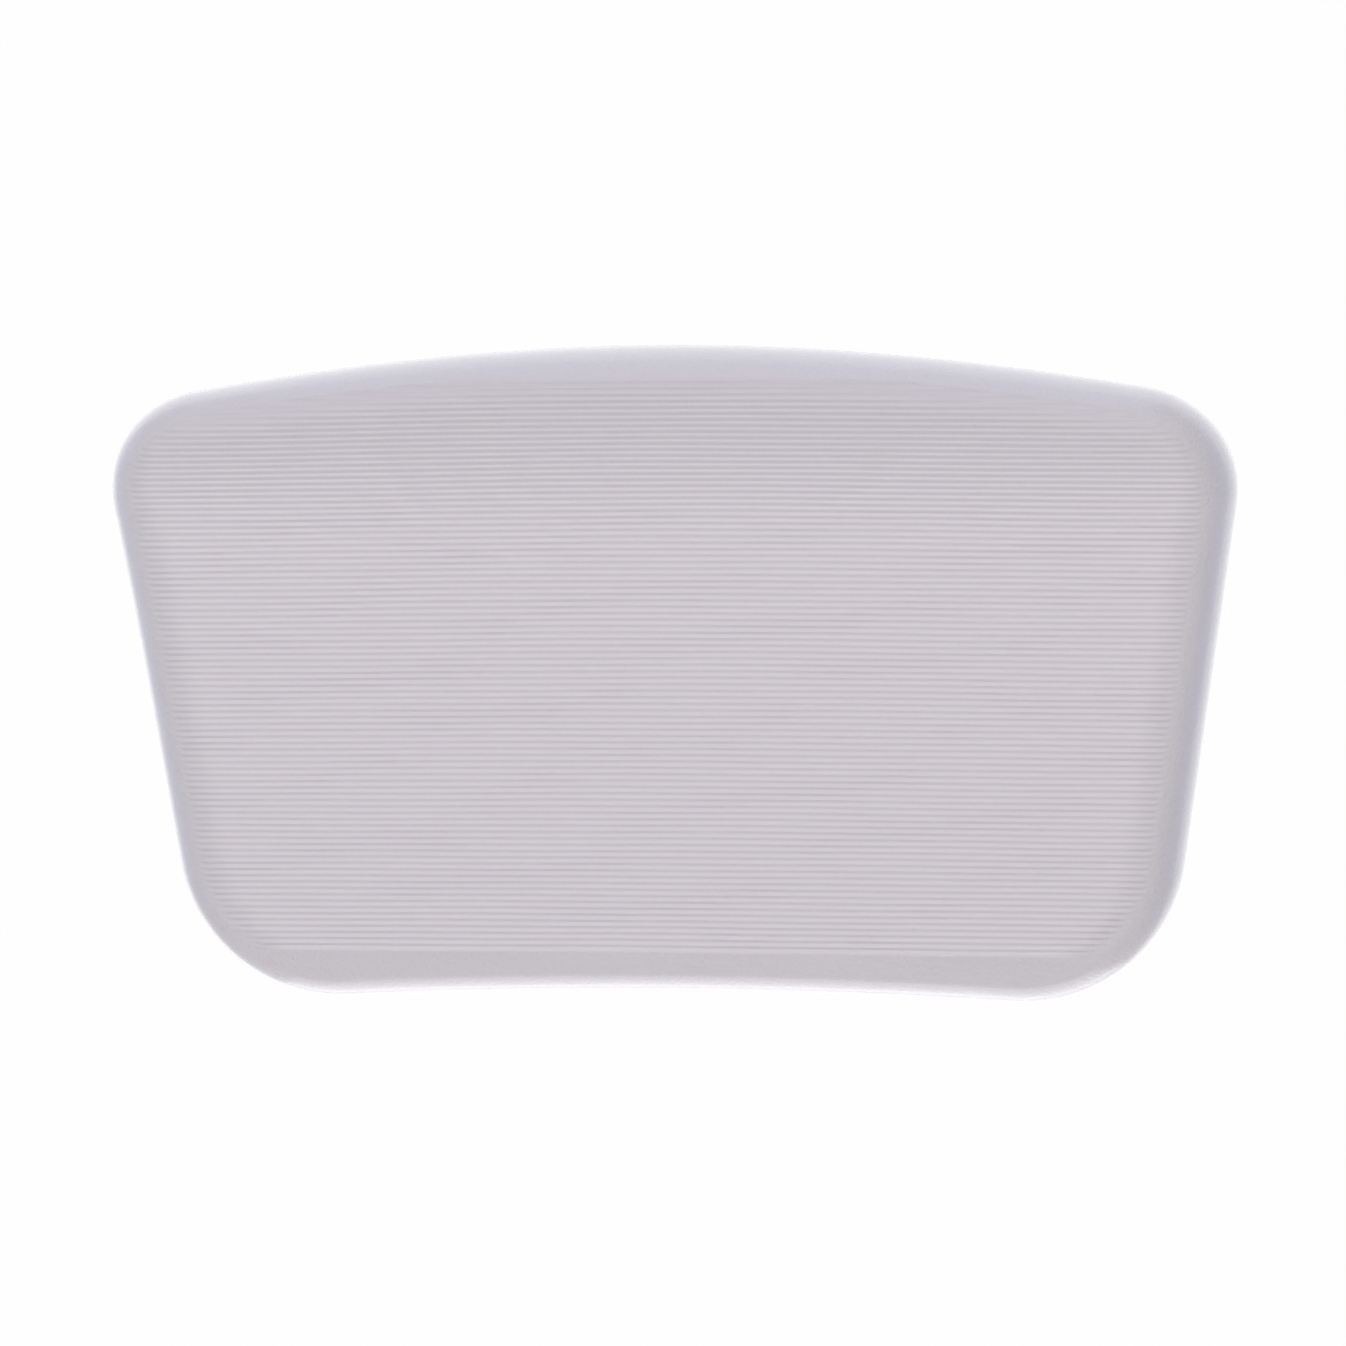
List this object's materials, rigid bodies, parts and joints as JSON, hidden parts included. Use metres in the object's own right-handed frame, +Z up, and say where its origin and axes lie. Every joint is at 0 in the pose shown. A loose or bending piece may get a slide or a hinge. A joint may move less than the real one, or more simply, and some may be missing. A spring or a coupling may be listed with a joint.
{
  "type": "hot tub headrest",
  "caption": "Soft moulded hot tub headrest, a rounded trapezoid with an arched top and a dished, finely ribbed face, on a hidden insert plate with snap pegs behind.",
  "frame": {"origin": "on the flat back of the pad, in the middle of the peg pattern", "axes": "+X along the width, +Y out of the back towards the tub's wall, +Z up; the ribbed face looks to -Y"},
  "size_m": [0.2798, 0.0587, 0.1654],
  "materials": {
    "skin": "matt moulded skin, light lilac grey",
    "foam": "open-cell foam",
    "plate": "moulded, fine grain",
    "peg": "moulded acetal, satin",
    "steel": "stainless, plain",
    "brass": "turned"
  },
  "bodies": {
    "root": {"pad_skin": "skin", "foam_core": "foam", "insert_plate": "plate", "threaded_insert_upper_left": "brass", "threaded_insert_upper_right": "brass", "threaded_insert_lower_left": "brass", "threaded_insert_lower_right": "brass", "snap_peg_upper_left": "peg", "snap_peg_upper_right": "peg", "snap_peg_lower_left": "peg", "snap_peg_lower_right": "peg", "screw_washer_upper_left": "steel", "screw_washer_upper_right": "steel", "screw_washer_lower_left": "steel", "screw_washer_lower_right": "steel", "peg_screw_upper_left": "steel", "peg_screw_upper_right": "steel", "peg_screw_lower_left": "steel", "peg_screw_lower_right": "steel"}
  },
  "joints": []
}
